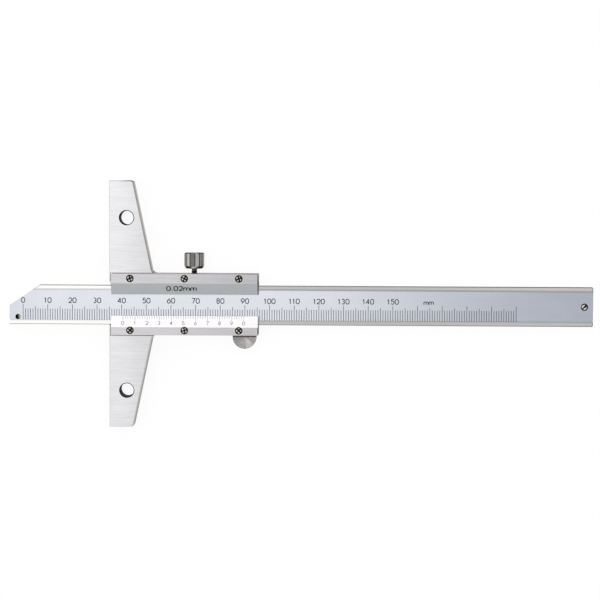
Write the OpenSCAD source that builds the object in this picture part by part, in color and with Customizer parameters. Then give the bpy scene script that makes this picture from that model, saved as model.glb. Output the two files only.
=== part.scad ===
// Vernier depth gauge, lying on its back.
// x = 0 is the measuring face, and the beam's tip points to -X.
// y = 0 is the middle of the base, and z = 0 is the back plane that the gauge lies on.

/* [Beam] */
// Length of the beam
beam_l = 236.6; // [215:0.1:330]
// Width of the beam
beam_w = 16; // [14:0.1:18]
// Thickness of the beam
beam_t = 3.3; // [2.8:0.1:4.5]
// Height of the beam's tip face
tip_w = 7.65; // [6.5:0.05:9]
// Length of the slanted cut at the tip
tip_cut_l = 12.3; // [8:0.1:18]
// Width of the ground land along each long edge
land_w = 1.8; // [1:0.1:2.4]
// Depth of the satin field between the lands
field_depth = 0.1; // [0.05:0.01:0.2]
// Chamfer along the beam's long edges
beam_chamfer = 0.2; // [0.05:0.05:0.4]
// Diameter of the hole at the tip
tip_hole_d = 2.2; // [1.5:0.1:2.6]
// Distance of that hole from the tip face
tip_hole_x = 3.4; // [2.6:0.1:4.2]
// Distance of that hole from the beam's lower edge
tip_hole_y = 3; // [2.2:0.1:3.8]
// Depth of that hole
tip_hole_depth = 2.6; // [1:0.1:2.7]
// Width of the chamfers round the beam's far end
beam_end_chamfer = 0.3; // [0.1:0.05:0.5]
// Depth that the gauge reads as it stands
reading = 40.6; // [5:0.02:140]

/* [Main scale] */
// Distance from the tip face to the zero line, and from the measuring face to the vernier's zero
zero_offset = 5.5; // [4:0.1:8]
// Last graduation of the main scale
scale_last = 200; // [150:10:200]
// Last graduation with a number
number_last = 150; // [100:10:150]
// Width of a graduation line
tick_w = 0.2; // [0.1:0.01:0.25]
// Depth of a graduation line
tick_depth = 0.06; // [0.03:0.01:0.1]
// Length of a line of 1 mm
tick_short = 4.5; // [3.5:0.1:5]
// Length of a line of 5 mm
tick_mid = 5.4; // [5.1:0.1:6]
// Length of a line of 10 mm
tick_long = 6.3; // [6.1:0.1:7]
// Height of the main numbers
number_h = 2.3; // [1.5:0.05:2.6]
// Gap between a 10 mm line and its number
number_gap = 0.5; // [0.3:0.05:0.8]
// Width of the strokes of the numbers
stroke_w = 0.32; // [0.2:0.01:0.36]

/* [Vernier] */
// Number of divisions of the vernier
vernier_divisions = 50; // [10:10:50]
// Length of the vernier
vernier_span = 49; // [39:1:49]
// Divisions from one vernier number to the next
vernier_number_step = 5; // [5:5:10]
// Width of a vernier line
vernier_tick_w = 0.1; // [0.06:0.01:0.14]
// Length of a short vernier line, down the slope
vernier_tick_short = 1.3; // [1:0.1:1.9]
// Length of a numbered vernier line, down the slope
vernier_tick_long = 2.1; // [2:0.1:2.5]
// Height of the vernier numbers
vernier_number_h = 1.6; // [1.2:0.05:1.8]
// Height of the value marked on the upper plate
value_h = 2.4; // [1.6:0.05:2.5]
// Width of the strokes of that value
value_stroke_w = 0.42; // [0.2:0.01:0.46]

/* [Base] */
// Length of the base along its measuring face
base_l = 100; // [90:1:150]
// Width of an arm at its end
arm_end_w = 9.7; // [8.5:0.1:14]
// Width of an arm where it meets the slider
arm_root_w = 17.6; // [15:0.1:22]
// Radius of the arms' outer corners
arm_corner_r = 1; // [0.4:0.1:2]
// Radius where an arm meets the slider
arm_fillet_r = 2; // [1:0.1:3]
// Height of the arms above the slider's front face
arm_rise = 0.8; // [0.4:0.1:1.4]
// Diameter of the extension holes in the arms
arm_hole_d = 5.6; // [4:0.1:6.5]
// Distance between the two extension holes
arm_hole_pitch = 70; // [60:1:80]
// Distance of the extension holes from the measuring face
arm_hole_x = 7.1; // [5:0.1:7.5]
// Chamfer at the mouths of those holes
arm_hole_chamfer = 0.2; // [0.1:0.05:0.5]
// Chamfer along the arms' front edges
arm_chamfer = 0.4; // [0.1:0.05:0.6]

/* [Slider] */
// Length of the slider from the measuring face
slider_l = 60.5; // [58:0.5:75]
// Height of the slider
slider_w = 25; // [24.5:0.1:32]
// Width of the lower rail
lower_rail_w = 4.1; // [3.8:0.1:4.4]
// Thickness of the wall behind the beam
back_wall = 2.4; // [2:0.1:4]
// Height of the rails above the beam
rail_rise = 0.87; // [0.6:0.01:1.5]
// Height of the gib's slot above the beam
gib_slot = 1.5; // [1.3:0.05:1.7]
// Sliding clearance of the beam
slide_gap = 0.03; // [0.01:0.01:0.08]

/* [Plates] */
// Thickness of the plates
plate_t = 1.6; // [1.3:0.1:2]
// Width of the window between the plates
window_w = 8.7; // [8:0.1:9.5]
// Width of the sloping bands
band_w = 4.5; // [3.8:0.1:5]
// Thickness of the bands' inner edges
band_edge_t = 0.22; // [0.15:0.01:0.4]
// Clearance between the plates and the beam's face
lip_gap = 0.05; // [0.03:0.01:0.15]
// Distance of the plates from the measuring face
plate_inset = 0.75; // [0.7:0.05:1]
// Radius of the plates' corners
plate_corner_r = 0.5; // [0.2:0.05:0.8]
// Width of the chamfer at the plates' right end
plate_end_chamfer = 0.45; // [0.2:0.05:0.6]

/* [Plate screws] */
// Distance of the first screws from the measuring face
screw_first_x = 8.5; // [6:0.1:10]
// Distance from the first screws to the middle ones
screw_pitch = 22; // [20:0.1:23]
// Distance of the last screws from the slider's right end
screw_last_inset = 8; // [7.5:0.1:12]
// Distance of the screws from the middle of the slider
screw_y = 10.5; // [10.4:0.05:10.7]
// Diameter of the screw heads
screw_head_d = 3; // [2.5:0.1:3.1]
// Diameter of the screw shanks
screw_d = 1.6; // [1.2:0.1:1.8]
// Depth of the screws' thread in the rails
screw_bite = 1.5; // [1.2:0.05:1.6]

/* [Lock screw] */
// Distance of the lock screw from the measuring face
lock_x = 34.3; // [33.5:0.1:38]
// Diameter of its head
lock_head_d = 8.1; // [7:0.1:8.1]
// Height of its head
lock_head_h = 6.45; // [5:0.05:9]
// Number of flutes in its head
lock_flutes = 12; // [8:1:14]
// Depth of the flutes
lock_flute_depth = 0.3; // [0.15:0.05:0.4]
// Height of the head above the slider
lock_lift = 2; // [1.8:0.1:4]
// Diameter of its neck
lock_neck_d = 2.05; // [1.6:0.05:2.3]
// Diameter of its thread
lock_d = 2.5; // [2.4:0.1:3]
// Diameter of its tip
lock_tip_d = 1.8; // [1.4:0.1:2]

/* [Gib] */
// Distance of the gib from each end of the slider
gib_inset = 2.25; // [1.75:0.25:5]
// Thickness of the gib
gib_t = 1.25; // [1:0.05:1.28]
// Gap between the gib and the beam when the lock is open
gib_gap = 0.2; // [0.18:0.01:0.22]
// Distance of the gib's own screws from the lock screw
gib_screw_spacing = 11.5; // [9:0.1:13]
// Diameter of those screws
gib_screw_d = 2; // [1.6:0.1:2.4]

/* [Thumb roller] */
// Radius of the roller, from its axis to the beam's edge
roller_r = 4.9; // [4.5:0.05:5]
// Thickness of the roller
roller_t = 2; // [1.8:0.1:2.1]
// Distance of its axis from the slider's right end
roller_inset = 5.75; // [5.6:0.05:7]
// Number of grooves in its rim
roller_grooves = 60; // [30:1:72]
// Diameter of its pin
roller_pin_d = 2; // [1.5:0.1:2.4]
// Clearance of the roller against the beam's edge
roller_gap = 0.02; // [0.01:0.01:0.04]

/* [Stop screw] */
// Diameter of the stop screw
stop_d = 2.9; // [2.5:0.1:3.2]
// Distance of the stop screw from the beam's far end
stop_x = 3.5; // [3:0.1:6]
// Length that stands out behind the beam
stop_out = 1.2; // [0.8:0.1:1.6]

/* [Hidden] */
$fn = 64;
// Allowance by which a cut runs past the face that it opens
over = 1;
// Clearance of a screw or pin in its hole
fit_gap = 0.03;
// Clearance of a screw's end from the bottom of its hole
end_gap = 0.05;

// Chamfer of the small turned pieces
small_chamfer = 0.2;
// Place of the unit's name, past the last number and below the numbers' foot, and its height
unit_shift = 14.5;
unit_drop = 0.1;
unit_h = number_h * 0.87;
// Place of the value on the upper plate, from the lock screw's axis and above the band's middle, and its stretch
value_shift = -5;
value_rise = 0.25;
value_stretch = 1.12;
// Shift of the vernier's numbers towards its lines
vernier_number_rise = 0.35;
// Width of the strokes of the vernier's numbers
vernier_stroke_w = stroke_w * 0.6;

// Levels, from the back plane up
beam_z = back_wall + slide_gap;
beam_front_z = beam_z + beam_t;
rail_z = beam_front_z + rail_rise;
base_t = rail_z + arm_rise;
plate_z = rail_z + plate_t;
lip_z = beam_front_z + lip_gap;
band_edge_z = lip_z + band_edge_t;
mid_z = beam_z + beam_t / 2;

// Heights across the slider, from its lower edge up
lower_rail_y = lower_rail_w - slider_w / 2;
beam_y = lower_rail_y + slide_gap;
beam_mid_y = beam_y + beam_w / 2;
beam_top_y = beam_y + beam_w;
upper_rail_y = beam_top_y + gib_slot;
slider_top_y = slider_w / 2;

// Bands of the two plates
upper_edge_y = beam_mid_y + window_w / 2;
lower_edge_y = beam_mid_y - window_w / 2;
band_drop = plate_z - band_edge_z;
band_slope = atan(band_drop / band_w);
band_len = norm([band_w, band_drop]);
// Clearance round the plates, and the gaps to the rim at the measuring face and to the arms
plate_gap = 0.05;
rim_gap = 0.35;
arm_gap = 0.3;
// Clearance between a plate's lip and the rail beside it
lip_side_gap = 0.12;
plate_l = slider_l - plate_inset - plate_gap;
// Depth of the chamfer at the plates' right end, so that the bands' inner edges stay whole
plate_end_depth = band_edge_t * 0.8;

// Plate screws: height of the head, of its straight rim, and its sink below the plate's face
screw_head_h = 0.65;
screw_rim_h = 0.15;
screw_sink = 0.05;
screw_top_z = plate_z - screw_sink;
screw_l = plate_t - screw_sink + screw_bite;
// Turn of each screw's cross recess
screw_turns = [20, 70, 35, 55, 10, 45];

// Gib and its screws
gib_side_gap = 0.05;
gib_y = beam_top_y + gib_gap;
gib_top_y = gib_y + gib_t;
gib_l = slider_l - 2 * gib_inset;
gib_w = beam_t - 2 * gib_side_gap;
dimple_d = gib_screw_d * 0.7;
dimple_depth = 0.6;
dog_depth = 0.4;

// Lock screw
lock_tip_gap = 0.02;
lock_tip_y = gib_top_y + lock_tip_gap;
lock_head_y = slider_top_y + lock_lift;
lock_sink = 0.4;
// Turn of the first flute, as a share of the flutes' spacing
lock_flute_turn = 0.25;

// Thumb roller
roller_x = slider_l - roller_inset;
roller_y = beam_y - roller_r;
roller_side_gap = 0.05;
// Clearance between the roller's rim and the pocket
roller_rim_gap = 0.15;
roller_z = back_wall + roller_side_gap;
roller_bore_depth = roller_t * 0.7;
ear_r = roller_r * 0.6;

// Parts that a small arc of an outline is divided into
arc_steps = 8;
// Points of an arc, from angle a0 to a1
function arc(c, r, a0, a1, n) = [for (i = [0:n]) let (a = a0 + (a1 - a0) * i / n) c + r * [cos(a), sin(a)]];

// Engraved numbers: each glyph is a list of centre lines, in a cell of height 1
glyph_w = 0.66;
glyph_gap = 0.22;
m_half_w = 0.52;
dot_w = 0.2;
loop_r = glyph_w / 2;
function glyph_zero() = [concat(arc([loop_r, 1 - loop_r], loop_r, 0, 180, arc_steps),
                                arc([loop_r, loop_r], loop_r, 180, 360, arc_steps))];
function glyph_six_loop() = arc([loop_r, loop_r], loop_r, 0, 360 - 360 / 12, 11);
// Stem that runs from the top of a six into its loop
function glyph_six_stem() = [[loop_r * 1.5, 1], [0.3, 0.72], [0.07, 0.48]];
// A line turned by half a turn in its cell
function turned(p) = [for (q = p) [glyph_w, 1] - q];
// Closed centre lines of a glyph
function loops(c) =
    c == "0" ? glyph_zero() :
    c == "6" ? [glyph_six_loop()] :
    c == "9" ? [turned(glyph_six_loop())] :
    c == "8" ? [arc([loop_r, 0.76], 0.24, 0, 330, 11), arc([loop_r, 0.27], 0.27, 0, 330, 11)] :
    [];
base_stroke = [[0, 0], [glyph_w, 0]];
// Open centre lines of a glyph
function strokes(c) =
    c == "1" ? [[[loop_r, 0], [loop_r, 1]], [[0.12, 0.78], [loop_r, 0.96]]] :
    c == "2" ? [concat(arc([loop_r, 1 - loop_r], loop_r, 165, -35, arc_steps), [[0.03, 0.03]]),
                base_stroke] :
    c == "3" ? [arc([loop_r, 0.75], 0.25, 150, -90, arc_steps),
                arc([loop_r, 0.26], 0.26, 90, -150, arc_steps)] :
    c == "4" ? [[[0.48, 0], [0.48, 1]], [[0.46, 1], [0.02, 0.3], [glyph_w, 0.3]]] :
    c == "5" ? [[[0.6, 1], [0.14, 1], [0.09, 0.56]], arc([loop_r, 0.33], loop_r, 135, -150, arc_steps)] :
    c == "6" ? [glyph_six_stem()] :
    c == "7" ? [[[0, 1], [glyph_w, 1], [0.2, 0]]] :
    c == "9" ? [turned(glyph_six_stem())] :
    c == "." ? [[[dot_w / 2, 0], [dot_w / 2, dot_w]]] :
    c == "m" ? [[[0, 0], [0, 0.66]],
                concat([[m_half_w, 0]], arc([m_half_w / 2, 0.42], m_half_w / 2, 0, 150, 5)),
                concat([[2 * m_half_w, 0]], arc([m_half_w * 1.5, 0.42], m_half_w / 2, 0, 150, 5))] :
    [];
// Width of a glyph's own cell, of the glyph with its gap, and of a row of glyphs, as shares of their height
function cell_w(c) = c == "m" ? 2 * m_half_w : c == "." ? dot_w : glyph_w;
function advance(c) = c == "." ? 0.46 : (c == "m" ? 2 * m_half_w : c == "1" ? 0.5 : glyph_w) + glyph_gap;
function row_w(s, i = 0) = i < len(s) ? advance(s[i]) + row_w(s, i + 1) : 0;
function start_x(s, i) = i == 0 ? 0 : start_x(s, i - 1) + advance(s[i - 1]);

// Offset of point i of a line, so that both sides of the stroke stay parallel
function unit(v) = v / norm(v);
function left_of(v) = [-v[1], v[0]];
function offset_at(p, a, b, i) = let (n = left_of(unit(p[i] - a)) + left_of(unit(b - p[i]))) 2 * n / (n * n);
function offset_open(p, i) = offset_at(p, i > 0 ? p[i - 1] : 2 * p[0] - p[1],
                                       i < len(p) - 1 ? p[i + 1] : 2 * p[i] - p[i - 1], i);
function offset_loop(p, i) = offset_at(p, p[(i + len(p) - 1) % len(p)], p[(i + 1) % len(p)], i);

module open_stroke(p, w) {
    polygon(concat([for (i = [0:len(p) - 1]) p[i] + offset_open(p, i) * w / 2],
                   [for (i = [len(p) - 1:-1:0]) p[i] - offset_open(p, i) * w / 2]));
}

module loop_stroke(p, w) {
    difference() {
        polygon([for (i = [0:len(p) - 1]) p[i] - offset_loop(p, i) * w / 2]);
        polygon([for (i = [0:len(p) - 1]) p[i] + offset_loop(p, i) * w / 2]);
    }
}

// One row of glyphs of height h, centred on x = 0, standing on y = 0, sunk to depth
module engraved_row(s, h, w, depth) {
    pen = h - w;
    for (i = [0:len(s) - 1]) {
        shift = [(start_x(s, i) + (advance(s[i]) - cell_w(s[i])) / 2 - row_w(s) / 2) * pen, w / 2];
        for (p = loops(s[i])) translate([shift[0], shift[1], -depth])
            linear_extrude(depth + over) loop_stroke(p * pen, w);
        for (p = strokes(s[i])) translate([shift[0], shift[1], -depth])
            linear_extrude(depth + over) open_stroke(p * pen, w);
    }
}

// One graduation line, centred on x, from y up
module engraved_tick(x, y, l, w, depth) {
    translate([x - w / 2, y, -depth]) cube([w, l, depth + over]);
}

// A rod with chamfered ends, standing on z = 0
module rod(r, h, c) {
    rotate_extrude() polygon([[0, 0], [r - c, 0], [r, c], [r, h - c], [r - c, h], [0, h]]);
}

// Turns a shape that stands on z = 0 so that it stands along +Y
module along_y(x, y, z) {
    translate([x, y, z]) rotate([-90, 0, 0]) children();
}

// Cross-section of the beam, over its width and thickness
module beam_section() {
    c = beam_chamfer;
    f = beam_t - field_depth;
    polygon([[c, 0], [beam_w - c, 0], [beam_w, c], [beam_w, beam_t - c], [beam_w - c, beam_t],
             [beam_w - land_w, beam_t], [beam_w - land_w, f], [land_w, f], [land_w, beam_t],
             [c, beam_t], [0, beam_t - c], [0, c]]);
}

// The main scale's lines and numbers, cut from the field's surface
module main_scale() {
    for (i = [0:scale_last]) {
        l = i % 10 == 0 ? tick_long : i % 5 == 0 ? tick_mid : tick_short;
        engraved_tick(zero_offset + i, land_w, l, tick_w, tick_depth);
    }
    number_y = land_w + tick_long + number_gap;
    for (i = [0:10:number_last]) translate([zero_offset + i, number_y, 0])
        engraved_row(str(i), number_h, stroke_w, tick_depth);
    translate([zero_offset + number_last + unit_shift, number_y - unit_drop, 0])
        engraved_row("mm", unit_h, stroke_w, tick_depth);
}

module beam() {
    color([0.82, 0.84, 0.87]) translate([-reading, beam_y, beam_z]) difference() {
        rotate([90, 0, 90]) linear_extrude(beam_l) beam_section();
        translate([0, 0, -over]) linear_extrude(beam_t + 2 * over)
            polygon([[-over, tip_w - over * (beam_w - tip_w) / tip_cut_l], [tip_cut_l, beam_w],
                     [tip_cut_l + over, beam_w + over], [-over, beam_w + over]]);
        translate([tip_hole_x, tip_hole_y, beam_t - field_depth - tip_hole_depth])
            cylinder(d = tip_hole_d, h = tip_hole_depth + over);
        translate([beam_l - stop_x, beam_w / 2, -over])
            cylinder(d = stop_d + 2 * fit_gap, h = beam_t + 2 * over);
        translate([0, 0, beam_t - field_depth]) main_scale();
        beam_end_cuts();
    }
}

// Cuts for the chamfers round the beam's far end: along its front edge, and down its two corners
module beam_end_cuts() {
    c = beam_end_chamfer;
    edge_cut([beam_l, 0], [beam_l, beam_w], beam_t, c, c);
    for (y = [0, beam_w]) translate([beam_l, y, -over]) rotate([0, 0, 45])
        cube([c * sqrt(2), c * sqrt(2), 2 * (beam_t + 2 * over)], center = true);
}

// Slotted screw through the beam's far end, which meets the slider's back wall at full depth
module stop_screw() {
    sink = 0.15;
    l = beam_t - field_depth - sink + stop_out;
    slot_w = 0.5;
    slot_depth = 0.7;
    color([0.45, 0.44, 0.42])
        translate([beam_l - stop_x - reading, beam_mid_y, beam_z - stop_out]) difference() {
        rod(stop_d / 2, l, small_chamfer);
        rotate([0, 0, 45]) translate([-stop_d, -slot_w / 2, l - slot_depth]) cube([2 * stop_d, slot_w, over]);
    }
}

// Direction of an arm's slanted side
function arm_angle() = atan2(base_l / 2 - slider_top_y, arm_end_w - arm_root_w);
// Upper half of the outline of the base and slider
function upper_half() =
    let (a = arm_angle(),
         n = [sin(a), -cos(a)],
         fillet_c = [arm_root_w + arm_fillet_r * (1 - n[1]) / n[0], slider_top_y + arm_fillet_r],
         corner_y = base_l / 2 - arm_corner_r,
         edge_x = arm_root_w + (corner_y - slider_top_y) / tan(a),
         corner_c = [edge_x - arm_corner_r / n[0], corner_y])
    concat([[slider_l, slider_top_y]],
           arc(fillet_c, arm_fillet_r, 270, 90 + a, arc_steps),
           arc(corner_c, arm_corner_r, a - 90, 90, arc_steps),
           [[0, base_l / 2]]);
// The same points mirrored across the middle, in the opposite order
function flipped(p) = [for (i = [len(p) - 1:-1:0]) [p[i][0], -p[i][1]]];

module base_frame() {
    color([0.85, 0.86, 0.88]) difference() {
        union() {
            linear_extrude(base_t) polygon(concat(upper_half(), flipped(upper_half())));
            translate([roller_x, roller_y, 0]) cylinder(r = ear_r, h = back_wall);
        }
        // Seat of the plates behind a low rim, and the channel with the gib's slot
        translate([plate_inset - rim_gap, -slider_top_y - arm_gap, rail_z])
            cube([slider_l, slider_w + 2 * arm_gap, arm_rise + over]);
        translate([-over, lower_rail_y, back_wall])
            cube([slider_l + 2 * over, upper_rail_y - lower_rail_y, base_t]);
        arm_edge_cuts();
        mirror([0, 1, 0]) arm_edge_cuts();
        for (side = [-1, 1]) translate([arm_hole_x, side * arm_hole_pitch / 2, 0]) arm_hole();
        for (i = [0:5]) translate([screw_at(i)[0], screw_at(i)[1], screw_top_z - screw_l - end_gap])
            cylinder(d = screw_d + 2 * fit_gap, h = base_t);
        along_y(lock_x, upper_rail_y - over, mid_z) cylinder(d = lock_d + 2 * fit_gap, h = slider_w);
        along_y(lock_x, slider_top_y - lock_sink, mid_z)
            cylinder(d1 = lock_d, d2 = lock_d + 4 * lock_sink, h = 2 * lock_sink);
        for (side = [-1, 1]) along_y(lock_x + side * gib_screw_spacing, upper_rail_y - over, mid_z)
            cylinder(d = gib_screw_d + 2 * fit_gap, h = slider_w);
        // Pocket and pin hole of the thumb roller
        translate([roller_x, roller_y, back_wall])
            cylinder(r = roller_r + roller_rim_gap, h = roller_t + 2 * roller_side_gap);
        translate([roller_x, roller_y, -over]) cylinder(d = roller_pin_d + fit_gap, h = back_wall + 2 * over);
    }
}

// Cut for a chamfer of width c and depth d along the front edge from a to b at height z, body on its left
module edge_cut(a, b, z, c, d) {
    run_out = 0.05;
    run = b - a;
    translate([a[0], a[1], z]) rotate([0, 0, atan2(run[1], run[0])]) translate([-run_out, 0, 0])
        rotate([90, 0, 90]) linear_extrude(norm(run) + 2 * run_out)
        polygon([[-over, -d - over * d / c], [c + over, over * d / c], [-over, over * d / c]]);
}

// Chamfers round the upper arm, from its fillet to the end of the rim at the measuring face
module arm_edge_cuts() {
    p = concat(upper_half(), [[0, slider_top_y]]);
    for (i = [1:len(p) - 2]) edge_cut(p[i], p[i + 1], base_t, arm_chamfer, arm_chamfer);
}

// Cut for an extension hole with a chamfer at each mouth
module arm_hole() {
    r = arm_hole_d / 2;
    c = arm_hole_chamfer;
    rotate_extrude() polygon([[0, -c], [r + 2 * c, -c], [r, c], [r, base_t - c], [r + 2 * c, base_t + c],
                              [0, base_t + c]]);
}

// Place of plate screw i: three along the upper plate, then three along the lower
function screw_at(i) = [i % 3 == 2 ? slider_l - screw_last_inset : screw_first_x + (i % 3) * screw_pitch,
                        i < 3 ? screw_y : -screw_y];

// Countersunk screw, standing head up with its head's face at z = 0; gap widens it all round
module screw_body(gap) {
    head_r = screw_head_d / 2 + gap;
    shank_r = screw_d / 2 + gap;
    top = gap > 0 ? over : 0;
    tip = gap > 0 ? 0 : small_chamfer;
    rotate_extrude() polygon([[0, top], [head_r, top], [head_r, -screw_rim_h],
                              [shank_r, -screw_head_h], [shank_r, tip - screw_l - gap],
                              [shank_r - tip, -screw_l - gap], [0, -screw_l - gap]]);
}

module plate_screw(i) {
    arm_w = 0.42;
    arm_l = screw_head_d * 0.6;
    recess = 0.5;
    color([0.25, 0.24, 0.22]) translate([screw_at(i)[0], screw_at(i)[1], screw_top_z]) difference() {
        screw_body(0);
        rotate([0, 0, screw_turns[i]]) {
            translate([-arm_l / 2, -arm_w / 2, -recess]) cube([arm_l, arm_w, over]);
            translate([-arm_w / 2, -arm_l / 2, -recess]) cube([arm_w, arm_l, over]);
        }
    }
}

// Cross-section of a plate, from its inner edge out: side is 1 for the upper plate, -1 for the lower
module plate_section(edge, rail, side) {
    band = edge + side * band_w;
    lip = rail - side * lip_side_gap;
    outer = side * (slider_top_y - plate_gap);
    polygon([[edge, lip_z], [edge, band_edge_z], [band, plate_z], [outer, plate_z], [outer, rail_z],
             [lip, rail_z], [lip, lip_z]]);
}

// Outline round both plates, seen from the front, with the lower right corner cut off above the roller
module plate_outline() {
    r = plate_corner_r;
    x0 = plate_inset;
    x1 = plate_inset + plate_l;
    y1 = slider_top_y - plate_gap;
    cut = [0.5, 1];
    polygon(concat(arc([x1 - r, y1 - r], r, 0, 90, arc_steps), arc([x0 + r, y1 - r], r, 90, 180, arc_steps),
                   arc([x0 + r, r - y1], r, 180, 270, arc_steps), [[x1 - cut[0], -y1], [x1, cut[1] - y1]]));
}

// Plate without its engraving
module plate_blank(edge, rail, side) {
    difference() {
        intersection() {
            translate([plate_inset - over, 0, 0]) rotate([90, 0, 90]) linear_extrude(plate_l + 2 * over)
                plate_section(edge, rail, side);
            linear_extrude(plate_z + over) plate_outline();
        }
        for (i = [0:5]) translate([screw_at(i)[0], screw_at(i)[1], screw_top_z]) screw_body(fit_gap);
        plate_end_cuts(edge, side);
    }
}

// Cuts for the chamfer at a plate's right end: across its strip, and down its sloping band
module plate_end_cuts(edge, side) {
    x = plate_inset + plate_l;
    band = edge + side * band_w;
    outer = band + side * slider_w;
    edge_cut([x, min(band, outer)], [x, max(band, outer)], plate_z, plate_end_chamfer, plate_end_depth);
    translate([0, min(edge, band), side > 0 ? band_edge_z : plate_z]) rotate([side * band_slope, 0, 0])
        edge_cut([x, 0], [x, band_len], 0, plate_end_chamfer, plate_end_depth);
}

module upper_plate() {
    color([0.70, 0.72, 0.73]) difference() {
        plate_blank(upper_edge_y, upper_rail_y, 1);
        translate([lock_x + value_shift, upper_edge_y, band_edge_z]) rotate([band_slope, 0, 0])
            translate([0, (band_len - value_h) / 2 + value_rise, 0]) scale([value_stretch, 1, 1])
            engraved_row("0.02mm", value_h, value_stroke_w, tick_depth);
    }
}

module vernier_plate() {
    step = vernier_span / vernier_divisions;
    number_y = (band_len - vernier_tick_long - vernier_number_h) / 2 + vernier_number_rise;
    color([0.93, 0.94, 0.95]) difference() {
        plate_blank(lower_edge_y, lower_rail_y, -1);
        translate([zero_offset, lower_edge_y - band_w, plate_z]) rotate([-band_slope, 0, 0]) {
            for (i = [0:vernier_divisions]) {
                l = i % vernier_number_step == 0 ? vernier_tick_long : vernier_tick_short;
                engraved_tick(i * step, band_len - l, l + over, vernier_tick_w, tick_depth);
            }
            for (i = [0:vernier_number_step:vernier_divisions])
                translate([i * step, number_y, 0])
                engraved_row(str((i / vernier_number_step) % 10), vernier_number_h, vernier_stroke_w,
                             tick_depth);
        }
    }
}

// Turned lock screw with a fluted head
module lock_screw() {
    r = lock_head_d / 2;
    neck_r = lock_neck_d / 2;
    top_chamfer = 0.35;
    foot_cone = [0.7, 1.4];
    collar = [0.25, 0.3];
    run_out = 0.3;
    tip_l = 0.8;
    flute_r = 0.75;
    color([0.42, 0.42, 0.41]) along_y(lock_x, 0, mid_z) difference() {
        rotate_extrude() polygon([
            [0, lock_tip_y], [lock_tip_d / 2, lock_tip_y], [lock_tip_d / 2, lock_tip_y + tip_l],
            [lock_d / 2, lock_tip_y + tip_l + run_out], [lock_d / 2, slider_top_y - run_out],
            [neck_r, slider_top_y], [neck_r, lock_head_y - collar[1]], [neck_r + collar[0], lock_head_y],
            [r - foot_cone[0], lock_head_y], [r, lock_head_y + foot_cone[1]],
            [r, lock_head_y + lock_head_h - top_chamfer], [r - top_chamfer, lock_head_y + lock_head_h],
            [0, lock_head_y + lock_head_h]]);
        for (i = [0:lock_flutes - 1]) rotate([0, 0, (i + lock_flute_turn) * 360 / lock_flutes])
            translate([r + flute_r - lock_flute_depth, 0, lock_head_y - over])
            cylinder(r = flute_r, h = lock_head_h + 2 * over);
    }
}

// Strip in the upper slot, which the lock screw presses against the beam
module gib() {
    c = small_chamfer;
    color([0.72, 0.58, 0.32]) difference() {
        translate([gib_inset, gib_y, beam_z + gib_side_gap]) linear_extrude(gib_w)
            polygon([[c, 0], [gib_l - c, 0], [gib_l, c], [gib_l, gib_t], [0, gib_t], [0, c]]);
        for (side = [-1, 1]) along_y(lock_x + side * gib_screw_spacing, gib_top_y - dimple_depth, mid_z)
            cylinder(d = dimple_d, h = over + dimple_depth);
    }
}

// Slotted grub screw whose end sits in the gib's dimple
module gib_screw(side) {
    sink = 0.2;
    dog_y = gib_top_y - dog_depth;
    body_y = upper_rail_y + gib_slot * 0.2;
    l = slider_top_y - sink - body_y;
    slot_w = 0.35;
    slot_depth = 0.6;
    color([0.35, 0.34, 0.33]) along_y(lock_x + side * gib_screw_spacing, body_y, mid_z) difference() {
        union() {
            rod(gib_screw_d / 2, l, small_chamfer);
            translate([0, 0, dog_y - body_y])
                cylinder(d = dimple_d - 4 * fit_gap, h = body_y - dog_y + l / 2);
        }
        translate([-gib_screw_d, -slot_w / 2, l - slot_depth]) cube([2 * gib_screw_d, slot_w, over]);
    }
}

// Turned disc that rolls along the beam's lower edge
module thumb_roller() {
    r = roller_r - roller_gap;
    rim = 0.25;
    groove_r = 0.14;
    color([0.62, 0.61, 0.60]) translate([roller_x, roller_y, roller_z]) difference() {
        rod(r, roller_t, rim);
        for (i = [0:roller_grooves - 1]) rotate([0, 0, (i + 0.5) * 360 / roller_grooves])
            translate([r + groove_r / 2, 0, -over]) cylinder(r = groove_r, h = roller_t + 2 * over, $fn = 16);
        translate([0, 0, -over]) cylinder(d = roller_pin_d + 2.5 * fit_gap, h = roller_bore_depth + over);
    }
}

module roller_pin() {
    sink = 0.1;
    color([0.5, 0.5, 0.5]) translate([roller_x, roller_y, sink])
        rod(roller_pin_d / 2, roller_z + roller_bore_depth - end_gap - sink, small_chamfer);
}

base_frame();
beam();
upper_plate();
vernier_plate();
plate_screw(0);  // plate_screw_1
plate_screw(1);  // plate_screw_2
plate_screw(2);  // plate_screw_3
plate_screw(3);  // plate_screw_4
plate_screw(4);  // plate_screw_5
plate_screw(5);  // plate_screw_6
lock_screw();
gib();
gib_screw(-1);  // gib_screw_1
gib_screw(1);  // gib_screw_2
thumb_roller();
roller_pin();
stop_screw();
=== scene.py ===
"""Vernier depth gauge, dressed for rendering.

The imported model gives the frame: x = 0 is the measuring face, +Y runs up along the base, and z = 0 is the back plane
that the gauge lies on. Sizes in this file are millimetres, and a mesh is turned into metres when it is made.
"""

import logging
import math
from dataclasses import dataclass, field
from enum import Enum
from functools import cached_property
from typing import Callable

import bpy
import numpy as np
from mathutils import Matrix, Vector


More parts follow.
